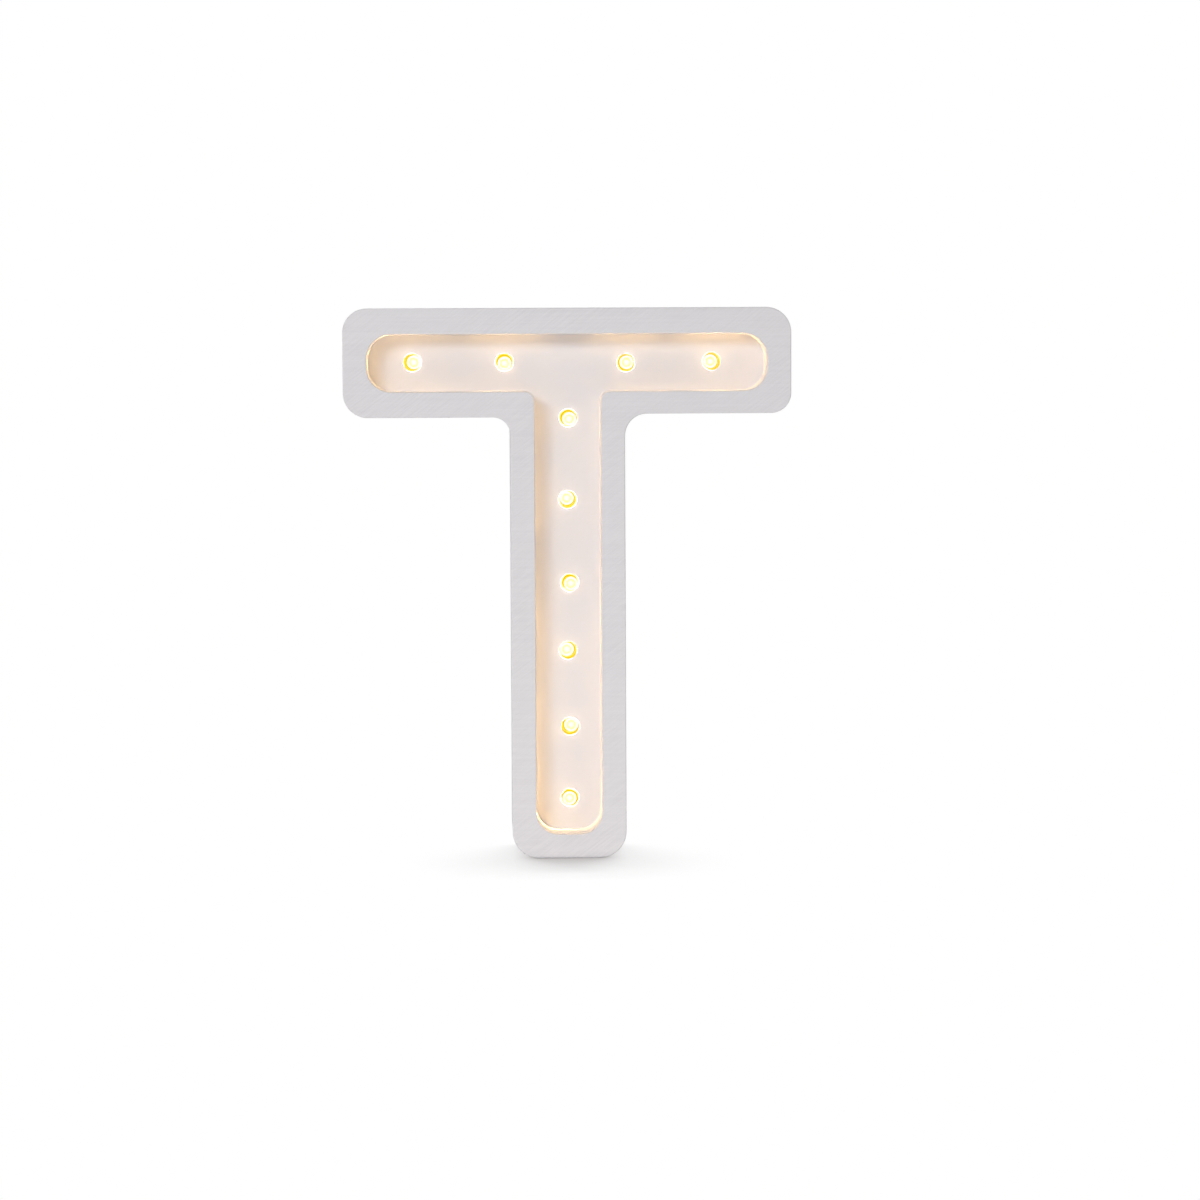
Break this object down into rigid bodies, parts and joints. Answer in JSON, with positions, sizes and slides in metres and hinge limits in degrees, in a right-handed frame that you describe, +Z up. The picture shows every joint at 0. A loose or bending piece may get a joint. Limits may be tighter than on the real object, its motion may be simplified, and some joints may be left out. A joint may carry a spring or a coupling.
{
  "type": "letter night light",
  "caption": "Free-standing wooden capital T night light, painted white, with warm lights set in a front channel, a battery box with a hinged door and a slide switch behind.",
  "frame": {"origin": "under the middle of the foot, halfway between front face and rear rim", "axes": "+X to the right seen from the front, +Y to the back, +Z up"},
  "size_m": [0.162, 0.04, 0.2],
  "materials": {
    "painted_wood": "white satin paint with the grain showing through",
    "painted_panel": "thin white paint on a thin board",
    "lens": "clear warm lens, lit",
    "glue": "cloudy glue",
    "tinned_wire": "tinned",
    "red_wire": "soft insulation",
    "black_wire": "soft insulation",
    "resistor_body": "lacquered",
    "box_plastic": "fine moulded texture",
    "door_plastic": "fine moulded texture",
    "zinc_screw": "bright zinc",
    "nickel_plate": "nickel plated",
    "nickel_spring": "nickel plated",
    "cell_wrap": "plain printed film sleeve",
    "brass_insert": "knurled",
    "switch_steel": "folded sheet",
    "switch_board": "pressed insulating board",
    "knob_plastic": "moulded"
  },
  "bodies": {
    "letter": {"letter_body": "painted_wood", "led_01": "lens", "led_02": "lens", "led_03": "lens", "led_04": "lens", "led_05": "lens", "led_06": "lens", "led_07": "lens", "led_08": "lens", "led_09": "lens", "led_10": "lens", "led_glue": "glue", "led_leads": "tinned_wire", "wire_red": "red_wire", "wire_black": "black_wire", "wire_switch": "red_wire", "resistor": "resistor_body", "battery_box": "box_plastic", "battery_box_screws": "zinc_screw", "bridge_plate": "nickel_plate", "bridge_spring": "nickel_spring", "plus_plate": "nickel_plate", "minus_plate": "nickel_plate", "minus_spring": "nickel_spring", "battery_left": "cell_wrap", "battery_right": "cell_wrap", "door_insert": "brass_insert", "back_panel": "painted_panel", "panel_screws": "zinc_screw", "switch_frame": "switch_steel", "switch_base": "switch_board", "switch_terminals": "tinned_wire", "switch_screws": "zinc_screw"},
    "switch_knob": {"switch_knob": "knob_plastic"},
    "battery_door": {"battery_door": "door_plastic"},
    "door_screw": {"door_screw": "zinc_screw"}
  },
  "joints": [
    {"name": "knob_slide", "type": "slide", "parent": "letter", "child": "switch_knob", "axis": [1, 0, 0], "range_m": [0, 0.004]},
    {"name": "door_hinge", "type": "hinge", "parent": "letter", "child": "battery_door", "pos_m": [0, 0.0174, 0.0708], "axis": [1, 0, 0], "range_deg": [0, 100]},
    {"name": "door_screw_turn", "type": "hinge", "parent": "battery_door", "child": "door_screw", "pos_m": [0, 0.0182, 0.0176], "axis": [0, 1, 0], "continuous": true}
  ]
}
